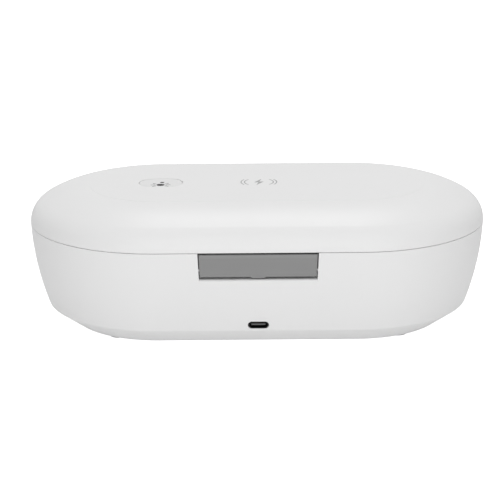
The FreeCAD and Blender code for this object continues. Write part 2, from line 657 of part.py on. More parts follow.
def hinge_block():
    """Block in the notch: a face that follows the wall, a barrel round the pin and a neck up into the lid."""
    top = Z_PART - NOTCH_TOP_GAP
    brow = top - BROW_HEIGHT
    barrel_side = BARREL_RADIUS * math.sqrt(0.5)
    under_pin = at(Y_PIN, BLOCK_BOTTOM)
    behind_pin = at(Y_PIN - BARREL_RADIUS, Z_PIN)
    outline = [under_pin, at(BLOCK_LOW_Y, BLOCK_BOTTOM), at(wall_y(brow) - BLOCK_RECESS, brow),
               at(wall_y(top) - BLOCK_RECESS - BROW_LEAN, top),
               at(NECK_Y[0], top), at(NECK_Y[0], Z_PIN), behind_pin]
    edges = [line(p, q) for p, q in zip(outline, outline[1:])]
    edges.append(Part.Arc(behind_pin, at(Y_PIN - barrel_side, Z_PIN - barrel_side), under_pin).toShape())
    half = NOTCH_WIDTH / 2
    body = Part.Face(Part.Wire(edges)).extrude(V(2 * half, 0, 0)).translated(V(-half, 0, 0))
    body = body.common(notch_prism(NOTCH_SIDE_GAP, 0, R, BLOCK_BOTTOM, top))
    rear_edges = [edge for edge in body.Edges if edge.BoundBox.YMin > Y_PIN + PIN_RADIUS]
    brow_edges = edges_at(body, brow)
    body = body.makeFillet(BLOCK_EDGE, [e for e in rear_edges if not any(e.isSame(b) for b in brow_edges)])
    neck_x = (-NECK_WIDTH / 2, NECK_WIDTH / 2)
    under_lid = box(neck_x, NECK_Y, (Z_LID, Z_PART + NECK_RISE)).common(lid_form(WALL + SEAT_GAP, Z_LID))
    neck = box(neck_x, NECK_Y, (Z_PIN, Z_LID)).fuse(under_lid)
    tab = box((-TAB_WIDTH / 2, TAB_WIDTH / 2), (Y_PIN, TAB_Y), (BLOCK_BOTTOM - TAB_DROP, Z_PIN))
    holes = [rod_x(-half, half, Y_PIN, Z_PIN, PIN_RADIUS + HOLE_CLEARANCE)]
    for x0, x1 in BUSH_SPANS:
        holes.append(rod_x(x0, x1, Y_PIN, Z_PIN, BUSH_BORE + BUSH_WALL + PIN_SEAT))
    for x in HINGE_SCREW_XS:
        holes.append(rod_y(x, NECK_Y[0], NECK_Y[1], Z_HINGE_SCREW, HINGE_SCREW_RADIUS + HOLE_CLEARANCE))
    return body.fuse([neck, tab]).cut(holes).removeSplitter()


def hinge_bushes():
    bushes = []
    for x0, x1 in BUSH_SPANS:
        bush = rod_x(x0, x1, Y_PIN, Z_PIN, BUSH_BORE + BUSH_WALL)
        bushes.append(bush.cut(rod_x(x0, x1, Y_PIN, Z_PIN, BUSH_BORE)))
    return bushes


def hinge_screws():
    tip = shoulder_y(Z_HINGE_SCREW, 0) - HINGE_SCREW_COVER
    screws = []
    for x in HINGE_SCREW_XS:
        head = rod_y(x, NECK_Y[0] - HINGE_SCREW_HEAD, NECK_Y[0], Z_HINGE_SCREW, HINGE_SCREW_HEAD_RADIUS)
        screws.append(head.fuse(rod_y(x, NECK_Y[0], tip, Z_HINGE_SCREW, HINGE_SCREW_RADIUS)))
    return screws


# Lid

def lid_shell():
    outside = lid_form(0, Z_LID)
    inside = lid_form(WALL, Z_LID)
    shell = outside.cut(inside)
    wall_in = R - WALL
    slope = racetrack(chain([at(wall_in - LID_EDGE_RUN, Z_LID), at(wall_in + LID_EDGE_RUN, Z_LID),
                             at(wall_in - LID_EDGE_RUN, Z_LID + 2 * LID_EDGE_RISE)]))
    pad = box((-NECK_WIDTH / 2, NECK_WIDTH / 2), (NECK_Y[1], R),
              (Z_LID + NOTCH_TOP_GAP, Z_PART + NECK_RISE)).common(outside)
    adds = [pad]
    for x, y in LINER_SCREWS:
        adds.append(post(x, y, Z_PLATE_TOP, BIG, LINER_BOSS_RADIUS).common(outside))
    for x, y in CHARGER_SCREWS:
        adds.append(post(x, y, Z_CHARGER_TOP, BIG, SMALL_BOSS_RADIUS).common(outside))
    for x, y in BUTTON_SCREWS:
        adds.append(post(x, y, Z_SWITCH, BIG, SMALL_BOSS_RADIUS).common(outside))
    shell = shell.cut(slope).fuse(adds)
    cuts = [capsule(BUTTON_X, 0, BUTTON_LENGTH + 2 * BUTTON_GAP, BUTTON_WIDTH + 2 * BUTTON_GAP, Z_LID, BIG)]
    rim = 2 * (BUTTON_RIM + BUTTON_GAP)
    cuts.append(capsule(BUTTON_X, 0, BUTTON_LENGTH + rim, BUTTON_WIDTH + rim,
                        Z_SWITCH, Z_FLANGE_TOP + BUTTON_GAP))
    for x, y in LINER_SCREWS:
        cuts.append(post(x, y, Z_PLATE_TOP, Z_PLATE_TOP + LINER_SCREW_BITE + SEAT_GAP,
                         SMALL_SCREW_RADIUS + SCREW_CLEARANCE))
    tip = shoulder_y(Z_HINGE_SCREW, 0) - HINGE_SCREW_COVER
    for x in HINGE_SCREW_XS:
        cuts.append(rod_y(x, NECK_Y[1], tip + SCREW_CLEARANCE, Z_HINGE_SCREW,
                          HINGE_SCREW_RADIUS + SCREW_CLEARANCE))
    for x, y in CHARGER_SCREWS:
        cuts.append(post(x, y, Z_CHARGER_TOP, Z_CHARGER_TOP + SMALL_SCREW_BITE + SEAT_GAP,
                         SMALL_SCREW_RADIUS + SCREW_CLEARANCE))
    for x, y in BUTTON_SCREWS:
        cuts.append(post(x, y, Z_SWITCH, Z_SWITCH + SMALL_SCREW_BITE + SEAT_GAP,
                         SMALL_SCREW_RADIUS + SCREW_CLEARANCE))
    return shell.cut(cuts).removeSplitter()


def lid_liner():
    """Reflective plate across the lid, with standoffs for the lamps' boards on top."""
    inset = R - shoulder_y(Z_PLATE_TOP, WALL) + PLATE_GAP
    plate = slab(inset, Z_PLATE, Z_PLATE_TOP)
    led_screws = led_screw_places(LID_LED_ROW)
    z_led = Z_PLATE_TOP + LED_STANDOFF
    posts = [post(x, y, Z_PLATE + PLATE / 2, z_led, LED_STANDOFF_RADIUS) for x, y in led_screws]
    half = NECK_WIDTH / 2 + SEAT_GAP
    cuts = [box((-half, half), (NECK_Y[0] - HINGE_SCREW_HEAD - SEAT_GAP, R), (Z_PLATE, Z_PLATE_TOP))]
    for x, y in led_screws:
        cuts.append(post(x, y, Z_PLATE_TOP, z_led, SMALL_SCREW_RADIUS + SCREW_CLEARANCE))
    for x, y in led_places(LID_LED_ROW):
        cuts.append(post(x, y, Z_PLATE, Z_PLATE + WINDOW, WINDOW_RADIUS + WINDOW_GAP))
        cuts.append(post(x, y, Z_PLATE, Z_PLATE_TOP, WINDOW_RADIUS - WINDOW_LEDGE))
    for x, y in LINER_SCREWS:
        cuts.append(post(x, y, Z_PLATE, Z_PLATE_TOP, SMALL_SCREW_RADIUS + HOLE_CLEARANCE))
    return plate.fuse(posts).cut(cuts).removeSplitter()


def charger_board():
    board = centred(0, 0, CHARGER_LENGTH, CHARGER_WIDTH, Z_CHARGER, Z_CHARGER_TOP)
    hole_radius = SMALL_SCREW_RADIUS + HOLE_CLEARANCE
    holes = [post(x, y, Z_CHARGER, Z_CHARGER_TOP, hole_radius) for x, y in CHARGER_SCREWS]
    return board.cut(holes)


def charger_chips():
    return [centred(sx * CHARGER_CHIP_PITCH / 2, 0, CHARGER_CHIP, CHARGER_CHIP,
                    Z_CHARGER - CHARGER_CHIP_HEIGHT, Z_CHARGER) for sx in (-1, 1)]


def charging_coil():
    z0 = Z_CHARGER_TOP + FERRITE
    return post(0, 0, z0, z0 + COIL, COIL_OUTER).cut(post(0, 0, z0, z0 + COIL, COIL_INNER))


# Button

def button_cap():
    """Cap whose top follows the lid's, with a flange that keeps it in."""
    cap = capsule(BUTTON_X, 0, BUTTON_LENGTH, BUTTON_WIDTH, Z_FLANGE, BIG).common(lid_form(0, Z_LID))
    top = [edge for edge in cap.Edges if edge.BoundBox.ZMin > Z_FLANGE_TOP + BUTTON_GAP]
    cap = cap.makeFillet(BUTTON_EDGE, top)
    rim = 2 * BUTTON_RIM
    flange = capsule(BUTTON_X, 0, BUTTON_LENGTH + rim, BUTTON_WIDTH + rim, Z_FLANGE, Z_FLANGE_TOP)
    return cap.fuse(flange).removeSplitter()


def tact_switch():
    body = centred(BUTTON_X, 0, SWITCH_SIZE, SWITCH_SIZE, Z_SWITCH, Z_SWITCH_TOP)
    bore = post(BUTTON_X, 0, Z_PLUNGER - TRAVEL - TRAVEL_SPARE, Z_SWITCH_TOP,
                PLUNGER_RADIUS + SWITCH_BORE_GAP)
    return body.cut(bore)


def button_board():
    board = centred(BUTTON_X, 0, 2 * BUTTON_BOARD_HALF, BUTTON_BOARD_WIDTH, Z_BUTTON_BOARD, Z_SWITCH)
    hole_radius = SMALL_SCREW_RADIUS + HOLE_CLEARANCE
    holes = [post(x, y, Z_BUTTON_BOARD, Z_SWITCH, hole_radius) for x, y in BUTTON_SCREWS]
    return board.cut(holes)


# Wires

def wire(points, bend):
    """Round wire along straight runs joined by arcs."""
    path = []
    start = points[0]
    for before, corner, after in zip(points, points[1:], points[2:]):
        back = before.sub(corner).normalize()
        on = after.sub(corner).normalize()
        half = back.getAngle(on) / 2
        trim = bend / math.tan(half)
        middle = back.add(on).normalize().multiply(bend / math.sin(half) - bend)
        arc_start = corner.add(V(back).multiply(trim))
        arc_end = corner.add(V(on).multiply(trim))
        if start.distanceToPoint(arc_start) > 1e-6:
            path.append(line(start, arc_start))
        path.append(Part.Arc(arc_start, corner.add(middle), arc_end).toShape())
        start = arc_end
    path.append(line(start, points[-1]))
    ring = Part.Wire(Part.makeCircle(WIRE_RADIUS, points[0], points[1].sub(points[0])))
    return Part.Wire(path).makePipeShell([ring], True, False)


def base_harness():
    """A wire from each socket of the main board to a lamp board."""
    z_led = Z_TUB_UNDER - LED_STANDOFF - LED_BOARD
    z_wire = Z_BOARD_TOP + WIRE_RADIUS
    wires = []
    for sx in (-1, 1):
        x = sx * SOCKET_X
        points = [V(x, BOARD_Y0, z_wire), V(x, BASE_LED_ROW, z_wire), V(x, BASE_LED_ROW, z_led)]
        wires.append(wire(points, (z_led - z_wire) * 0.8))
    return wires


def lid_harness():
    """Wire from the charger's board down to the hinge's neck."""
    y0 = CHARGER_WIDTH / 2
    z_high = Z_CHARGER + CHARGER_BOARD / 2
    z_low = Z_PLATE_TOP + WIRE_RADIUS + SEAT_GAP
    x = HINGE_SCREW_PITCH / 2
    points = [V(x, y0, z_high), V(x, y0 + WIRE_DROP_START, z_high),
              V(x, y0 + WIRE_DROP_START + WIRE_DROP_RUN, z_low), V(x, NECK_Y[0], z_low)]
    return wire(points, WIRE_BEND)


def small_screws_up(places, z_seat, board, bite):
    return [screw_up(x, y, z_seat, board + bite,
                     SMALL_SCREW_RADIUS, SMALL_SCREW_HEAD_RADIUS, SMALL_SCREW_HEAD) for x, y in places]


def small_screws_down(places, z_seat, board, bite):
    return [screw_down(x, y, z_seat, board + bite,
                       SMALL_SCREW_RADIUS, SMALL_SCREW_HEAD_RADIUS, SMALL_SCREW_HEAD) for x, y in places]


def build_base():
    export("base_shell", base_shell())
    for name, (x, y) in zip(FOOT_NAMES, FOOT_PLACES):
        export("foot_" + name, foot(x, y))
    export("rim_frame", rim_frame())
    export("base_liner", base_liner())
    export("phone_rests", phone_rests())
    z_led = Z_TUB_UNDER - LED_STANDOFF
    export("base_led_boards", led_boards(BASE_LED_ROW, z_led - LED_BOARD))
    export("base_uv_leds", led_dice(BASE_LED_ROW, z_led))
    export("base_led_windows", led_windows(BASE_LED_ROW, Z_TUB - WINDOW))
    led_screws = led_screw_places(BASE_LED_ROW)
    led_bite = LED_STANDOFF - SEAT_GAP
    export("base_led_screws", small_screws_up(led_screws, z_led - LED_BOARD, LED_BOARD, led_bite))
    export("main_board", main_board())
    export("control_chip", on_board(0, BOARD_MIDDLE - CHIP_SIZE / 2, CHIP_SIZE, CHIP_SIZE, CHIP_HEIGHT))
    inductor_x = -BOARD_LENGTH / 4
    export("power_inductor",
           on_board(inductor_x, BOARD_MIDDLE, INDUCTOR_SIZE, INDUCTOR_SIZE, INDUCTOR_HEIGHT))
    export("board_capacitors", board_capacitors())
    export("board_connectors", board_connectors())
    export("board_screws", small_screws_down(BOARD_SCREWS, Z_BOARD_TOP, BOARD, SMALL_SCREW_BITE))
    export("usb_shell", usb_shell())
    export("usb_tongue", usb_tongue())
    grip = Z_BOSS - Z_BASE_SCREW + BASE_SCREW_BITE
    export("base_screws", [screw_up(x, y, Z_BASE_SCREW, grip, BASE_SCREW_RADIUS, BASE_SCREW_HEAD_RADIUS,
                                    BASE_SCREW_HEAD) for x, y in FOOT_PLACES])
    z_magnet = Z_DECK_UNDER - MAGNET
    export("base_magnets", [post(x, y, z_magnet, Z_DECK_UNDER, MAGNET_RADIUS) for x, y in MAGNET_PLACES])
    z_sensor = Z_DECK_UNDER - SENSOR_HEIGHT
    export("lid_sensor", centred(0, MAGNET_Y, SENSOR_SIZE, SENSOR_SIZE, z_sensor, Z_DECK_UNDER))
    export("hinge_pin", hinge_pin())
    export("base_harness", base_harness())


def build_lid():
    export("lid_shell", lid_shell())
    export("hinge_block", hinge_block())
    export("hinge_bushes", hinge_bushes())
    export("hinge_screws", hinge_screws())
    export("lid_liner", lid_liner())
    z_led = Z_PLATE_TOP + LED_STANDOFF
    export("lid_led_boards", led_boards(LID_LED_ROW, z_led))
    export("lid_uv_leds", led_dice(LID_LED_ROW, z_led - LED_HEIGHT))
    export("lid_led_windows", led_windows(LID_LED_ROW, Z_PLATE))
    led_screws = led_screw_places(LID_LED_ROW)
    led_bite = LED_STANDOFF - SEAT_GAP
    export("lid_led_screws", small_screws_down(led_screws, z_led + LED_BOARD, LED_BOARD, led_bite))
    export("liner_screws", small_screws_up(LINER_SCREWS, Z_PLATE, PLATE, LINER_SCREW_BITE))
    export("charger_board", charger_board())
    export("charger_chips", charger_chips())
    export("ferrite_plate", post(0, 0, Z_CHARGER_TOP, Z_CHARGER_TOP + FERRITE, FERRITE_RADIUS))
    export("charging_coil", charging_coil())
    export("charger_screws", small_screws_up(CHARGER_SCREWS, Z_CHARGER, CHARGER_BOARD, SMALL_SCREW_BITE))
    z_magnet = Z_PLATE_TOP + MAGNET
    export("lid_magnets", [post(x, y, Z_PLATE_TOP, z_magnet, MAGNET_RADIUS) for x, y in MAGNET_PLACES])
    export("sensor_magnet", post(0, MAGNET_Y, Z_PLATE_TOP, z_magnet, MAGNET_RADIUS))
    export("button_board", button_board())
    export("button_board_screws",
           small_screws_up(BUTTON_SCREWS, Z_BUTTON_BOARD, BUTTON_BOARD, SMALL_SCREW_BITE))
    export("tact_switch", tact_switch())
    export("lid_harness", lid_harness())


def build_button():
    export("button_cap", button_cap())
    export("switch_plunger", post(BUTTON_X, 0, Z_PLUNGER, Z_FLANGE, PLUNGER_RADIUS))


os.makedirs("parts", exist_ok=True)
build_base()
build_lid()
build_button()
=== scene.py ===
"""UV sanitizer box: finishes, small printed and moulded details, light and camera.

Metres, in the frame of the solids.
"""
import json
import math

import bmesh
import bpy
from mathutils import Matrix, Vector


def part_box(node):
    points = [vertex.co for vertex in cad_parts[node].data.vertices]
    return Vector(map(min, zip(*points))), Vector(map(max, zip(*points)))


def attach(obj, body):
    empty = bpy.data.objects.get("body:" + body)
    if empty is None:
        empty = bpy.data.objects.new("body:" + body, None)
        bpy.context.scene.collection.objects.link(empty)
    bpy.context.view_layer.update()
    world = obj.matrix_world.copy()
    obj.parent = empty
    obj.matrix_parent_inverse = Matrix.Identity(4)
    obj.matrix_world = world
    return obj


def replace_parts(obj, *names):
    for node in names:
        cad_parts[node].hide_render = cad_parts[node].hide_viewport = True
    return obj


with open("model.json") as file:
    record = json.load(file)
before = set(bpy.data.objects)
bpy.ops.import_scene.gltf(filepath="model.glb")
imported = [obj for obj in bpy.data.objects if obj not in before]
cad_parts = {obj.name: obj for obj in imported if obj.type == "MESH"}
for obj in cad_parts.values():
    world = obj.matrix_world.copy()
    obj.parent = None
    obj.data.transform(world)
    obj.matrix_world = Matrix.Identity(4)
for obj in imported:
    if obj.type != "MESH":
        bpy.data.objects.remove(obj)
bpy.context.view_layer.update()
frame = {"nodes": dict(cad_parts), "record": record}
NODES = frame["nodes"]
MM = 0.001


# Node material helpers

RAMP_SPAN = (0.3, 0.7)     # part of a noise's range over which a ramp changes
GLOSS_DRIFT = 0.04         # how far a plastic's roughness strays
METAL_SHADE = 0.92         # tone of a metal's darker patches
METAL_GLOSS = (0.8, 1.25)  # shares of a metal's roughness, from patch to patch
METAL_DEPTH = 0.02 * MM
CERAMIC_SHADE = 0.9
SCATTER = 2 * MM           # how far light runs inside silicone


def new_material(name):
    material = bpy.data.materials.new(name)
    material.use_nodes = True
    nodes = material.node_tree.nodes
    return material, nodes, material.node_tree.links, nodes["Principled BSDF"]


def object_coordinates(nodes):
    return nodes.new("ShaderNodeTexCoord").outputs["Object"]


def noise(nodes, links, scale, detail=2.0):
    texture = nodes.new("ShaderNodeTexNoise")
    texture.inputs["Scale"].default_value = scale
    texture.inputs["Detail"].default_value = detail
    links.new(object_coordinates(nodes), texture.inputs["Vector"])
    return texture.outputs["Fac"]


def ramp(nodes, links, factor, low, high):
    """Colour that goes from low to high over the middle of the factor's range."""
    node = nodes.new("ShaderNodeValToRGB")
    for element, position, tone in zip(node.color_ramp.elements, RAMP_SPAN, (low, high)):
        element.position = position
        element.color = (*tone, 1)
    links.new(factor, node.inputs["Fac"])
    return node.outputs["Color"]


def spread(nodes, links, factor, low, high):
    """Number that goes from low to high as factor goes from 0 to 1."""
    node = nodes.new("ShaderNodeMapRange")
    node.inputs["To Min"].default_value = low
    node.inputs["To Max"].default_value = high
    links.new(factor, node.inputs["Value"])
    return node.outputs["Result"]


def bump(nodes, links, shader, height, strength, distance):
    node = nodes.new("ShaderNodeBump")
    node.inputs["Strength"].default_value = strength
    node.inputs["Distance"].default_value = distance
    links.new(height, node.inputs["Height"])
    links.new(node.outputs["Normal"], shader.inputs["Normal"])


def grey(value):
    return (value, value, value)


def shaded(tone, share):
    return tuple(c * share for c in tone)


def moulded(name, tone, drift, roughness, grain, depth):
    """Moulded plastic: a slow drift of tone, uneven gloss and a fine spark-eroded grain."""
    material, nodes, links, shader = new_material(name)
    slow = noise(nodes, links, scale=22.0, detail=3.0)
    gloss = noise(nodes, links, scale=60.0, detail=4.0)
    low = tuple(c - drift for c in tone)
    high = tuple(c + drift for c in tone)
    links.new(ramp(nodes, links, slow, low, high), shader.inputs["Base Color"])
    links.new(spread(nodes, links, gloss, roughness - GLOSS_DRIFT, roughness + GLOSS_DRIFT),
              shader.inputs["Roughness"])
    bump(nodes, links, shader, noise(nodes, links, scale=grain), strength=0.25, distance=depth)
    return material


def plated(name, tone, roughness, grain, strength):
    """Bare or plated metal with a faint uneven finish."""
    material, nodes, links, shader = new_material(name)
    shader.inputs["Metallic"].default_value = 1.0
    fine = noise(nodes, links, scale=grain, detail=3.0)
    smoothest, roughest = METAL_GLOSS
    links.new(ramp(nodes, links, fine, shaded(tone, METAL_SHADE), tone), shader.inputs["Base Color"])
    links.new(spread(nodes, links, fine, roughness * smoothest, roughness * roughest),
              shader.inputs["Roughness"])
    bump(nodes, links, shader, fine, strength, METAL_DEPTH)
    return material


def ceramic(name, tone):
    """Matt ceramic with a fine speckle."""
    material, nodes, links, shader = new_material(name)
    speckle = noise(nodes, links, scale=1400.0, detail=4.0)
    links.new(ramp(nodes, links, speckle, shaded(tone, CERAMIC_SHADE), tone), shader.inputs["Base Color"])
    links.new(spread(nodes, links, speckle, low=0.35, high=0.5), shader.inputs["Roughness"])
    bump(nodes, links, shader, speckle, strength=0.2, distance=0.01 * MM)
    return material


# Materials

def casing_material():
    return moulded("casing_white", grey(0.80), drift=0.004, roughness=0.42, grain=2600.0, depth=0.012 * MM)


def button_painted_shade_material():
    # grey(0.755) is the casing's white plastic darkened a shade: painted shade that stands in for the
    # shading on the button's top
    return moulded("button_white", grey(0.755), drift=0.004, roughness=0.42, grain=2600.0, depth=0.012 * MM)


def hinge_material():
    return moulded("hinge_grey", grey(0.24), drift=0.006, roughness=0.40, grain=2200.0, depth=0.015 * MM)


def print_material():
    return moulded("print_grey", grey(0.36), drift=0.01, roughness=0.5, grain=3000.0, depth=0.005 * MM)


def icon_material():
    material = moulded("icon_grey", grey(0.05), drift=0.005, roughness=0.65, grain=3000.0, depth=0.005 * MM)
    material.node_tree.nodes["Principled BSDF"].inputs["Specular IOR Level"].default_value = 0.2
    return material


def rubber_material():
    return moulded("foot_rubber", grey(0.42), drift=0.02, roughness=0.75, grain=1500.0, depth=0.03 * MM)


def silicone_material():
    material = moulded("rest_silicone", (0.70, 0.72, 0.74), drift=0.01, roughness=0.55, grain=1800.0,
                       depth=0.02 * MM)
    shader = material.node_tree.nodes["Principled BSDF"]
    shader.inputs["Subsurface Weight"].default_value = 0.25
    shader.inputs["Subsurface Radius"].default_value = (SCATTER, SCATTER, SCATTER)
    return material


def chip_material():
    return moulded("chip_black", grey(0.022), drift=0.004, roughness=0.5, grain=2500.0, depth=0.01 * MM)


def socket_material():
    return moulded("socket_white", (0.72, 0.70, 0.63), drift=0.01, roughness=0.45, grain=2000.0,
                   depth=0.01 * MM)


def usb_plastic_material():
    return moulded("usb_plastic", grey(0.11), drift=0.006, roughness=0.5, grain=2500.0, depth=0.01 * MM)


def sheath_material():
    return moulded("wire_sheath", grey(0.045), drift=0.006, roughness=0.45, grain=1500.0, depth=0.01 * MM)


def screw_material():
    return plated("screw_steel", (0.60, 0.60, 0.61), roughness=0.28, grain=900.0, strength=0.15)


def usb_steel_painted_shade_material():
    # the near-black tone of this steel is painted shade: it stands in for the dark of the shell deep inside
    # the port
    return plated("usb_steel", (0.035, 0.035, 0.036), roughness=0.4, grain=1200.0, strength=0.1)


def magnet_material():
    return plated("magnet_nickel", (0.66, 0.65, 0.62), roughness=0.18, grain=600.0, strength=0.08)


def reflector_material():
    """Vacuum-metallised skin: bright, a little orange-peeled and softly blurred."""
    material, nodes, links, shader = new_material("reflector")
    shader.inputs["Metallic"].default_value = 1.0
    cloud = noise(nodes, links, scale=30.0, detail=4.0)
    gloss = noise(nodes, links, scale=90.0, detail=4.0)
    peel = noise(nodes, links, scale=260.0)
    links.new(ramp(nodes, links, cloud, (0.80, 0.81, 0.82), (0.84, 0.85, 0.86)), shader.inputs["Base Color"])
    links.new(spread(nodes, links, gloss, low=0.20, high=0.27), shader.inputs["Roughness"])
    bump(nodes, links, shader, peel, strength=0.06, distance=0.05 * MM)
    return material


def board_material():
    """Green solder mask over copper tracks, which show as slightly raised lighter lines."""
    material, nodes, links, shader = new_material("circuit_board")
    brick = nodes.new("ShaderNodeTexBrick")
    brick.inputs["Scale"].default_value = 260.0
    brick.inputs["Mortar Size"].default_value = 0.035
    brick.inputs["Color1"].default_value = (0.020, 0.125, 0.055, 1)
    brick.inputs["Color2"].default_value = (0.016, 0.110, 0.048, 1)
    brick.inputs["Mortar"].default_value = (0.035, 0.19, 0.085, 1)
    gloss = noise(nodes, links, scale=300.0)
    links.new(object_coordinates(nodes), brick.inputs["Vector"])
    links.new(brick.outputs["Color"], shader.inputs["Base Color"])
    links.new(spread(nodes, links, gloss, low=0.25, high=0.4), shader.inputs["Roughness"])
    bump(nodes, links, shader, brick.outputs["Fac"], strength=0.3, distance=0.03 * MM)
    return material


def quartz_material():
    """Clear quartz with a faint haze."""
    material, nodes, links, shader = new_material("quartz")
    shader.inputs["Base Color"].default_value = (0.97, 0.98, 1.0, 1)
    shader.inputs["Transmission Weight"].default_value = 1.0
    shader.inputs["IOR"].default_value = 1.46
    haze = noise(nodes, links, scale=180.0, detail=3.0)
    links.new(spread(nodes, links, haze, low=0.02, high=0.08), shader.inputs["Roughness"])
    return material


def copper_material():
    """Enamelled copper."""
    material, nodes, links, shader = new_material("coil_copper")
    shader.inputs["Metallic"].default_value = 1.0
    fine = noise(nodes, links, scale=500.0, detail=3.0)
    links.new(ramp(nodes, links, fine, (0.58, 0.24, 0.12), (0.78, 0.38, 0.20)), shader.inputs["Base Color"])
    links.new(spread(nodes, links, fine, low=0.25, high=0.4), shader.inputs["Roughness"])
    return material


MATERIALS = {
    "casing": casing_material(),
    "button_white": button_painted_shade_material(),
    "hinge_grey": hinge_material(),
    "reflector": reflector_material(),
    "foot_rubber": rubber_material(),
    "rest_silicone": silicone_material(),
    "circuit_board": board_material(),
    "lamp_package": ceramic("lamp_package", (0.82, 0.77, 0.62)),
    "quartz": quartz_material(),
    "screw_steel": screw_material(),
    "chip_black": chip_material(),
    "capacitor_tan": ceramic("capacitor_tan", (0.46, 0.33, 0.20)),
    "socket_white": socket_material(),
    "usb_plastic": usb_plastic_material(),
    "usb_steel": usb_steel_painted_shade_material(),
    "magnet_nickel": magnet_material(),
    "ferrite_grey": ceramic("ferrite_grey", (0.09, 0.09, 0.095)),
    "coil_copper": copper_material(),
    "wire_sheath": sheath_material(),
}
PRINT = print_material()
ICON = icon_material()


def dress_solids():
    for entry in frame["record"]["subparts"]:
        for place in NODES[entry["node"]].material_slots:
            place.material = MATERIALS[entry["material_slot"]]


# Mesh helpers

SHARP_ANGLE = 35
TURNED_STEPS = 32
FINE_STEPS = 48
WELD = 0.001 * MM
SQUARE = True
UP = 1
DOWN = -1


def skirt(builder, low, high):
    """Faces between two closed rings of points, one of which may be a single point."""
    count = max(len(low), len(high))
    for i in range(count):
        j = (i + 1) % count
        corners = [low[i % len(low)], low[j % len(low)], high[j % len(high)], high[i % len(high)]]
        builder.faces.new(list(dict.fromkeys(corners)))


def turned(builder, rows, place, steps=TURNED_STEPS):
    """Adds a solid of revolution, set down by place.

    Rows go from its foot up: (radius, height), or (half width, height, SQUARE) where it is square.
    """
    rings = []
    for size, height, *square in rows:
        ring = []
        for i in range(steps if size else 1):
            angle = 2 * math.pi * i / steps
            across = math.cos(angle)
            along = math.sin(angle)
            reach = size / max(abs(across), abs(along)) if square else size
            ring.append(builder.verts.new(place @ Vector((reach * across, reach * along, height))))
        rings.append(ring)
    for low, high in zip(rings, rings[1:]):
        skirt(builder, low, high)
    return rings


def scaled(profile, across, tall):
    """Rows for turned from a profile in shares of a half width and a height."""
    return [(size * across, height * tall, *square) for size, height, *square in profile]


def finished(builder, name, body, slot, material=None, smooth=True):
    """Makes a piece of the built mesh, which rides a body."""
    bmesh.ops.recalc_face_normals(builder, faces=builder.faces)
    mesh = bpy.data.meshes.new(name)
    builder.to_mesh(mesh)
    builder.free()
    piece = bpy.data.objects.new(name, mesh)
    bpy.context.scene.collection.objects.link(piece)
    mesh.materials.append(material or MATERIALS[slot])
    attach(piece, body)
    if smooth:
        mesh.shade_smooth()
        mesh.set_sharp_from_angle(angle=math.radians(SHARP_ANGLE))
    return piece


def grid_places(node, inset, columns, facing):
    """Where a node's copies stand: two rows, each with its foot away from the way it faces."""
    low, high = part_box(node)
    foot = low.z if facing == UP else high.z
    turn = Matrix.Rotation(0 if facing == UP else math.pi, 4, "X")
    pitch = (high.x - low.x - 2 * inset) / (columns - 1)
    return [Matrix.Translation((low.x + inset + pitch * i, y, foot)) @ turn
            for y in (low.y + inset, high.y - inset) for i in range(columns)]


# Printed marks on the lid's top

LID_LOW, LID_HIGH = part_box("lid_shell")
LENGTH = LID_HIGH.x - LID_LOW.x
WIDTH = LID_HIGH.y - LID_LOW.y
TOP_Z = LID_HIGH.z
CROWN = 0.25 * MM          # rise of the top from its crease to its spine
CROWN_REACH = 34.9 * MM    # from the spine to the crease
PRINT_PROUD = 0.02 * MM
PRINT_SUNK = 0.10 * MM
ARC_STEPS = 14
DISC_STEPS = 28


def crown_z(x, y):
    """Height of the lid's top, which rises from its crease to the spine of the stadium."""
    spine = (LENGTH - WIDTH) / 2
    reach = math.hypot(max(abs(x) - spine, 0), y)
    return TOP_Z - CROWN * (reach / CROWN_REACH) ** 2


def inlay(outlines, name, body, slot, material):
    """Thin flat marks from closed outlines of (x, y), laid into the lid's top."""
    builder = bmesh.new()
    for outline in outlines:
        upper = [builder.verts.new((x, y, crown_z(x, y) + PRINT_PROUD)) for x, y in outline]
        lower = [builder.verts.new((x, y, crown_z(x, y) - PRINT_SUNK)) for x, y in outline]
        builder.faces.new(upper)
        builder.faces.new(lower[::-1])
        skirt(builder, lower, upper)
    finished(builder, name, body, slot, material, smooth=False)


def arc_points(cx, cy, radius, middle, half_span):
    """Points along an arc around (cx, cy); angles in degrees."""
    points = []
    for i in range(ARC_STEPS + 1):
        angle = math.radians(middle - half_span + 2 * half_span * i / ARC_STEPS)
        points.append((cx + radius * math.cos(angle), cy + radius * math.sin(angle)))
    return points


def arc_band(cx, cy, radius, width, middle, half_span):
    """Outline of a thick arc."""
    outer = arc_points(cx, cy, radius + width / 2, middle, half_span)
    inner = arc_points(cx, cy, radius - width / 2, middle, half_span)
    return outer + inner[::-1]


def disc_outline(cx, cy, radius):
    turns = [2 * math.pi * i / DISC_STEPS for i in range(DISC_STEPS)]
    return [(cx + radius * math.cos(t), cy + radius * math.sin(t)) for t in turns]


SYMBOL_X = -1.05 * MM
SYMBOL_LINE = 0.55 * MM
SYMBOL_ARCS = ((7.2 * MM, 44), (8.9 * MM, 34))         # radius, and half the angle in degrees
BOLT_HALF = ((1.3, 5.9), (-2.4, -0.7), (-0.2, -0.7))   # mm; the other half is this one turned round


def charging_symbol():
    """A lightning bolt between two pairs of arcs, seen upright from the rear."""
    outlines = [[(SYMBOL_X + side * x * MM, side * y * MM) for side in (-1, 1) for x, y in BOLT_HALF]]
    for side in (0, 180):
        for radius, half_span in SYMBOL_ARCS:
            outlines.append(arc_band(SYMBOL_X, 0, radius, SYMBOL_LINE, side, half_span))
    inlay(outlines, "charging_symbol", "lid", "hinge_grey", PRINT)


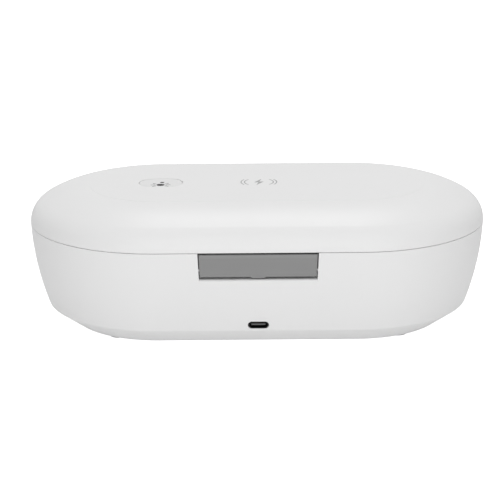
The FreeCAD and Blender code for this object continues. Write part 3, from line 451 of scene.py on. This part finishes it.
BUTTON_LOW, BUTTON_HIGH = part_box("button_cap")
BUTTON_X = (BUTTON_LOW.x + BUTTON_HIGH.x) / 2
ICON_Y = 4.3 * MM
ICON_RADIUS = 2.0 * MM
DOT_X = BUTTON_X - 0.6 * MM
DOT_Y = -0.5 * MM
DOT_RADIUS = 1.05 * MM
RAY_TURNS = (-36, 0, 36, 144, 180, 216)
RAY_START = 2.7 * MM
RAY_END = 4.9 * MM
RAY_HALF = 0.25 * MM


def button_icon():
    """A small lamp with rays in the rear half of the button, and a dot by the button's middle."""
    middle = Vector((BUTTON_X, ICON_Y))
    outlines = [disc_outline(*middle, ICON_RADIUS), disc_outline(DOT_X, DOT_Y, DOT_RADIUS)]
    for turn in RAY_TURNS:
        angle = math.radians(turn)
        along = Vector((math.cos(angle), math.sin(angle)))
        across = Vector((-along.y, along.x)) * RAY_HALF
        start = middle + along * RAY_START
        end = middle + along * RAY_END
        outlines.append([start - across, end - across, end + across, start + across])
    inlay(outlines, "button_icon", "button", "chip_black", ICON)


# Lamps and windows. Profiles are in shares of the half width and the height

LAMP_HALF = 1.75 * MM
LAMP_COLUMNS = 3
PACKAGE_PROFILE = ((0, 0), (1, 0, SQUARE), (1, 0.52, SQUARE), (0.94, 0.58, SQUARE),
                   (0.76, 0.58), (0.56, 0.3), (0, 0.3))
DIE_PROFILE = ((0, 0.25), (0.3, 0.25, SQUARE), (0.3, 0.4, SQUARE), (0, 0.4))
LENS_EDGE = 0.74
LENS_FOOT_PROFILE = ((0, 0.46), (0.62, 0.46), (LENS_EDGE, 0.56))
LENS_DOME_FOOT = 0.6
LENS_STEPS = 8


def lens_profile():
    """A foot that sits in the cup's mouth, and a dome."""
    dome = []
    for i in range(LENS_STEPS):
        angle = math.pi / 2 * i / LENS_STEPS
        rise = LENS_DOME_FOOT + (1 - LENS_DOME_FOOT) * math.sin(angle)
        dome.append((LENS_EDGE * math.cos(angle), rise))
    return [*LENS_FOOT_PROFILE, *dome, (0, 1)]


def ultraviolet_lamps(node, body, facing):
    """Ceramic packages with a round cup, a die in each and a domed lens over it."""
    low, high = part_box(node)
    tall = high.z - low.z
    packages = bmesh.new()
    dice = bmesh.new()
    lenses = bmesh.new()
    for place in grid_places(node, LAMP_HALF, LAMP_COLUMNS, facing):
        turned(packages, scaled(PACKAGE_PROFILE, LAMP_HALF, tall), place)
        turned(dice, scaled(DIE_PROFILE, LAMP_HALF, tall), place)
        turned(lenses, scaled(lens_profile(), LAMP_HALF, tall), place)
    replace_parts(finished(packages, node + "_packages", body, "lamp_package"), node)
    finished(dice, node + "_dice", body, "magnet_nickel")
    finished(lenses, node + "_lenses", body, "quartz")


WINDOW_RADIUS = 5.0 * MM
GASKET_HALF = 0.6 * MM
GASKET_SUNK = 0.1 * MM
GASKET_PROUD = 0.25 * MM
GASKET_EDGE = 0.12 * MM


def window_gaskets(node, body, facing):
    """Thin rings that hold the windows in their seats."""
    low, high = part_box(node)
    tall = high.z - low.z
    inner = WINDOW_RADIUS - GASKET_HALF
    outer = WINDOW_RADIUS + GASKET_HALF
    base = tall - GASKET_SUNK
    crest = tall + GASKET_PROUD
    rows = [(inner, base), (outer, base), (outer, crest - GASKET_EDGE), (outer - GASKET_EDGE, crest),
            (inner + GASKET_EDGE, crest), (inner, crest - GASKET_EDGE), (inner, base)]
    builder = bmesh.new()
    for place in grid_places(node, WINDOW_RADIUS, LAMP_COLUMNS, facing):
        turned(builder, rows, place, FINE_STEPS)
    bmesh.ops.remove_doubles(builder, verts=builder.verts, dist=WELD)
    finished(builder, node + "_gaskets", body, "foot_rubber")


# Screws with a cross recess

HEAD_RIM = 0.74        # flat part of the head's top, as a share of its radius
HEAD_PROFILE = ((1, 0), (1, 0.55), (0.92, 0.85), (HEAD_RIM, 1))
SHANK_TIP = 0.5        # of the shank's radius
CROSS_REACH = 0.62     # of the rim
CROSS_HALF = 0.17      # of the head's radius
CROSS_TAPER = 0.6      # size of the recess's floor against its mouth
CROSS_FLOOR = 0.45     # of the head's height


def cross_screw(builder, place, head_radius, head, shank_radius, shank):
    """Pan-headed screw with a cross recess: its head's seat is at height 0 and its shank goes down."""
    rows = [(0, -shank), (SHANK_TIP * shank_radius, -shank), (shank_radius, shank_radius - shank),
            (shank_radius, 0), *scaled(HEAD_PROFILE, head_radius, head)]
    top = turned(builder, rows, place)[-1]
    arm = CROSS_REACH * HEAD_RIM * head_radius
    half = CROSS_HALF * head_radius
    outline = []
    for turn in range(4):
        angle = Matrix.Rotation(math.pi / 2 * turn, 4, "Z")
        for corner in ((half, half), (half, arm), (-half, arm)):
            outline.append(angle @ Vector((*corner, head)))
    recess = [Vector((CROSS_TAPER * p.x, CROSS_TAPER * p.y, CROSS_FLOOR * head)) for p in outline]
    mouth = [builder.verts.new(place @ point) for point in outline]
    bottom = [builder.verts.new(place @ point) for point in recess]
    builder.faces.new(bottom)
    skirt(builder, mouth, bottom)
    edges = []
    for ring in (top, mouth):
        edges += [builder.edges.get(pair) for pair in zip(ring, ring[1:] + ring[:1])]
    bmesh.ops.triangle_fill(builder, use_beauty=True, edges=edges)


LINER_COLUMNS = 2
LINER_HEAD_RADIUS = 1.7 * MM
LINER_HEAD = 1.1 * MM
LINER_SHANK_RADIUS = 0.9 * MM


def liner_screws():
    """Four screws up through the lid's plate."""
    low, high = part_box("liner_screws")
    shank = high.z - low.z - LINER_HEAD
    builder = bmesh.new()
    for place in grid_places("liner_screws", LINER_HEAD_RADIUS, LINER_COLUMNS, DOWN):
        seat = place @ Matrix.Translation((0, 0, shank))
        cross_screw(builder, seat, LINER_HEAD_RADIUS, LINER_HEAD, LINER_SHANK_RADIUS, shank)
    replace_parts(finished(builder, "liner_screws_crossed", "lid", "screw_steel"), "liner_screws")


HINGE_HEAD_RADIUS = 1.9 * MM
HINGE_HEAD = 1.2 * MM
HINGE_SHANK_RADIUS = 1.0 * MM


def hinge_screws():
    """Three screws from inside the lid through the hinge block's neck."""
    low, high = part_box("hinge_screws")
    shank = high.y - low.y - HINGE_HEAD
    level = (low.z + high.z) / 2
    turn = Matrix.Rotation(math.pi / 2, 4, "X")
    builder = bmesh.new()
    for x in (low.x + HINGE_HEAD_RADIUS, (low.x + high.x) / 2, high.x - HINGE_HEAD_RADIUS):
        seat = Matrix.Translation((x, low.y + HINGE_HEAD, level)) @ turn
        cross_screw(builder, seat, HINGE_HEAD_RADIUS, HINGE_HEAD, HINGE_SHANK_RADIUS, shank)
    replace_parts(finished(builder, "hinge_screws_crossed", "lid", "screw_steel"), "hinge_screws")


# Feet, coil and contacts

FOOT_NODES = ("foot_front_left", "foot_rear_left", "foot_front_right", "foot_rear_right")
GROOVE_PROFILE = ((0.45, 0), (0.48, 0.12), (0.58, 0.12), (0.61, 0))
EDGE_PROFILE = ((0.92, 0), (0.98, 0.06), (1, 0.2))
FOOT_PROFILE = ((0, 0), *GROOVE_PROFILE, *EDGE_PROFILE, (1, 1), (0, 1))


def feet():
    """Pads with a rounded edge and a shallow ring groove on the underside."""
    for node in FOOT_NODES:
        low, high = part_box(node)
        radius = (high.x - low.x) / 2
        tall = high.z - low.z
        builder = bmesh.new()
        place = Matrix.Translation(((low.x + high.x) / 2, (low.y + high.y) / 2, low.z))
        turned(builder, scaled(FOOT_PROFILE, radius, tall), place, FINE_STEPS)
        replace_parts(finished(builder, node + "_pad", "base", "foot_rubber"), node)


COIL_BORE_RADIUS = 9.5 * MM
WIRE_SHARE = 0.46      # the wire's radius against the coil's height
TURN_PITCH = 2.04      # in radii of the wire
WIRE_SIDES = 8


def wound_coil():
    """Flat spiral of round wire in place of the coil's plain ring."""
    low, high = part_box("charging_coil")
    wire = (high.z - low.z) * WIRE_SHARE
    outer = (high.x - low.x) / 2 - wire
    inner = COIL_BORE_RADIUS + wire
    steps = int((outer - inner) / (TURN_PITCH * wire)) * FINE_STEPS
    middle = (low + high) / 2
    builder = bmesh.new()
    rings = []
    for i in range(steps + 1):
        angle = 2 * math.pi * i / FINE_STEPS
        reach = inner + (outer - inner) * i / steps
        ring = []
        for k in range(WIRE_SIDES):
            lean = 2 * math.pi * k / WIRE_SIDES
            radius = reach + wire * math.cos(lean)
            offset = Vector((radius * math.cos(angle), radius * math.sin(angle), wire * math.sin(lean)))
            ring.append(builder.verts.new(middle + offset))
        rings.append(ring)
    for ring, following in zip(rings, rings[1:]):
        skirt(builder, ring, following)
    for ring in (rings[0], rings[-1]):
        builder.faces.new(ring)
    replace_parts(finished(builder, "charging_coil_wound", "lid", "coil_copper"), "charging_coil")


CONTACTS = 12
CONTACT_PITCH = 0.5 * MM
CONTACT_HALF = 0.13 * MM
CONTACT_TIP = 0.35 * MM     # from the tongue's tip to the strip's
CONTACT_RAMP = 0.5 * MM     # from the tongue's tip to where the strip is at its full height
CONTACT_END = 3.4 * MM      # from the tongue's tip to the strip's inner end
CONTACT_PROUD = 0.04 * MM
CONTACT_SUNK = 0.02 * MM


def usb_contacts():
    """Plated strips along both faces of the receptacle's tongue."""
    low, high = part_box("usb_tongue")
    middle = (low.z + high.z) / 2
    half = (high.z - low.z) / 2
    sunk = half - CONTACT_SUNK
    proud = half + CONTACT_PROUD
    profile = [(high.y - CONTACT_TIP, sunk), (high.y - CONTACT_RAMP, proud),
               (high.y - CONTACT_END, proud), (high.y - CONTACT_END, sunk)]
    builder = bmesh.new()
    for i in range(CONTACTS):
        x = (i - (CONTACTS - 1) / 2) * CONTACT_PITCH
        for side in (-1, 1):
            left = [builder.verts.new((x - CONTACT_HALF, y, middle + side * z)) for y, z in profile]
            right = [builder.verts.new((x + CONTACT_HALF, y, middle + side * z)) for y, z in profile]
            builder.faces.new(left)
            builder.faces.new(right)
            skirt(builder, left, right)
    finished(builder, "usb_contacts", "base", "coil_copper", smooth=False)


# Stage

SKY = 1.07
SKY_AT_ENDS = 0.02
FLOOR_REACH = 6.0
FLOOR_TONE = 0.70
FLOOR_LIFT = 0.71      # glow that only the camera sees
FLOOR_GLOW = 0.245     # glow that also lights the object
LAMP_TARGET = (0, 0, 0.04)
NEAR_PLACE = (-0.05, 1.7, 0.95)
NEAR_SIZE = 2.0
NEAR_POWER = 13.1
FAR_PLACE = (-0.05, -0.72, 1.54)
FAR_SIZE = 0.66
FAR_POWER = 5.2


def lit_world():
    """White to the camera and in reflections, and else a grey sky, dimmer at the object's two ends."""
    world = bpy.data.worlds.new("studio")
    bpy.context.scene.world = world
    world.use_nodes = True
    nodes = world.node_tree.nodes
    links = world.node_tree.links
    nodes.clear()
    path = nodes.new("ShaderNodeLightPath")
    seen = path.outputs["Is Camera Ray"]
    for ray in ("Is Glossy Ray", "Is Transmission Ray"):
        either = nodes.new("ShaderNodeMath")
        either.operation = "MAXIMUM"
        links.new(seen, either.inputs[0])
        links.new(path.outputs[ray], either.inputs[1])
        seen = either.outputs[0]
    split = nodes.new("ShaderNodeSeparateXYZ")
    links.new(nodes.new("ShaderNodeTexCoord").outputs["Generated"], split.inputs[0])
    endwise = nodes.new("ShaderNodeMath")
    endwise.operation = "ABSOLUTE"
    links.new(split.outputs["X"], endwise.inputs[0])
    sky = nodes.new("ShaderNodeBackground")
    links.new(spread(nodes, links, endwise.outputs[0], SKY, SKY_AT_ENDS), sky.inputs["Strength"])
    white = nodes.new("ShaderNodeBackground")
    for light in (sky, white):
        light.inputs["Color"].default_value = (1, 1, 1, 1)
    white.inputs["Strength"].default_value = 1.0
    mix = nodes.new("ShaderNodeMixShader")
    links.new(seen, mix.inputs["Fac"])
    links.new(sky.outputs[0], mix.inputs[1])
    links.new(white.outputs[0], mix.inputs[2])
    output = nodes.new("ShaderNodeOutputWorld")
    links.new(mix.outputs[0], output.inputs["Surface"])


def floor():
    """Pale floor that shows white to the camera away from the object's soft shadow."""
    mesh = bpy.data.meshes.new("floor")
    corners = [(x * FLOOR_REACH, y * FLOOR_REACH, 0) for x, y in ((-1, -1), (1, -1), (1, 1), (-1, 1))]
    mesh.from_pydata(corners, [], [(0, 1, 2, 3)])
    plane = bpy.data.objects.new("floor", mesh)
    bpy.context.scene.collection.objects.link(plane)
    material = bpy.data.materials.new("floor")
    material.use_nodes = True
    nodes = material.node_tree.nodes
    links = material.node_tree.links
    nodes.clear()
    matte = nodes.new("ShaderNodeBsdfDiffuse")
    matte.inputs["Color"].default_value = (*grey(FLOOR_TONE), 1)
    glow = nodes.new("ShaderNodeEmission")
    path = nodes.new("ShaderNodeLightPath")
    lift = nodes.new("ShaderNodeMath")
    lift.operation = "MULTIPLY_ADD"
    lift.inputs[1].default_value = FLOOR_LIFT
    lift.inputs[2].default_value = FLOOR_GLOW
    links.new(path.outputs["Is Camera Ray"], lift.inputs[0])
    links.new(lift.outputs[0], glow.inputs["Strength"])
    both = nodes.new("ShaderNodeAddShader")
    links.new(matte.outputs[0], both.inputs[0])
    links.new(glow.outputs[0], both.inputs[1])
    output = nodes.new("ShaderNodeOutputMaterial")
    links.new(both.outputs[0], output.inputs["Surface"])
    mesh.materials.append(material)


def panel(name, place, size, power):
    """Soft square lamp that points at the object."""
    lamp = bpy.data.lights.new(name, "AREA")
    lamp.size = size
    lamp.energy = power
    holder = bpy.data.objects.new(name, lamp)
    holder.location = place
    holder.rotation_euler = (Vector(LAMP_TARGET) - Vector(place)).to_track_quat("-Z", "Y").to_euler()
    bpy.context.scene.collection.objects.link(holder)


def lamps():
    """A wide panel on the camera's side, and one high behind that lights the lid's shoulder."""
    panel("near_panel", NEAR_PLACE, NEAR_SIZE, NEAR_POWER)
    panel("far_panel", FAR_PLACE, FAR_SIZE, FAR_POWER)


# Camera, at the photograph's viewing angle: from the rear and a little above

VIEW_ELEVATION = 16.925
VIEW_TURN = -0.1
VIEW_ROLL = -0.428
VIEW_DISTANCE = 0.8018
VIEW_TARGET = Vector((3.634, 0, 32.348)) * MM
SENSOR = 36.0
FOCAL_PIXELS = 1586.6
IMAGE_PIXELS = 500
NEAR_CLIP = 0.01


def camera():
    lens = bpy.data.cameras.new("camera")
    lens.sensor_width = SENSOR
    lens.lens = FOCAL_PIXELS / IMAGE_PIXELS * SENSOR
    lens.clip_start = NEAR_CLIP
    turn = math.radians(VIEW_TURN)
    rise = math.radians(VIEW_ELEVATION)
    roll = math.radians(VIEW_ROLL)
    back = Vector((-math.sin(turn) * math.cos(rise), math.cos(turn) * math.cos(rise), math.sin(rise)))
    right = (-back).cross(Vector((0, 0, 1))).normalized()
    up = right.cross(-back)
    across = right * math.cos(roll) + up * math.sin(roll)
    upright = up * math.cos(roll) - right * math.sin(roll)
    holder = bpy.data.objects.new("camera", lens)
    place = VIEW_TARGET + back * VIEW_DISTANCE
    axes = Matrix((across, upright, back)).transposed()
    holder.matrix_world = Matrix.Translation(place) @ axes.to_4x4()
    bpy.context.scene.collection.objects.link(holder)
    bpy.context.scene.camera = holder


dress_solids()
charging_symbol()
button_icon()
ultraviolet_lamps("base_uv_leds", "base", UP)
ultraviolet_lamps("lid_uv_leds", "lid", DOWN)
window_gaskets("base_led_windows", "base", UP)
window_gaskets("lid_led_windows", "lid", DOWN)
liner_screws()
hinge_screws()
feet()
wound_coil()
usb_contacts()
lit_world()
floor()
lamps()
camera()
bpy.context.scene.view_settings.view_transform = "Standard"
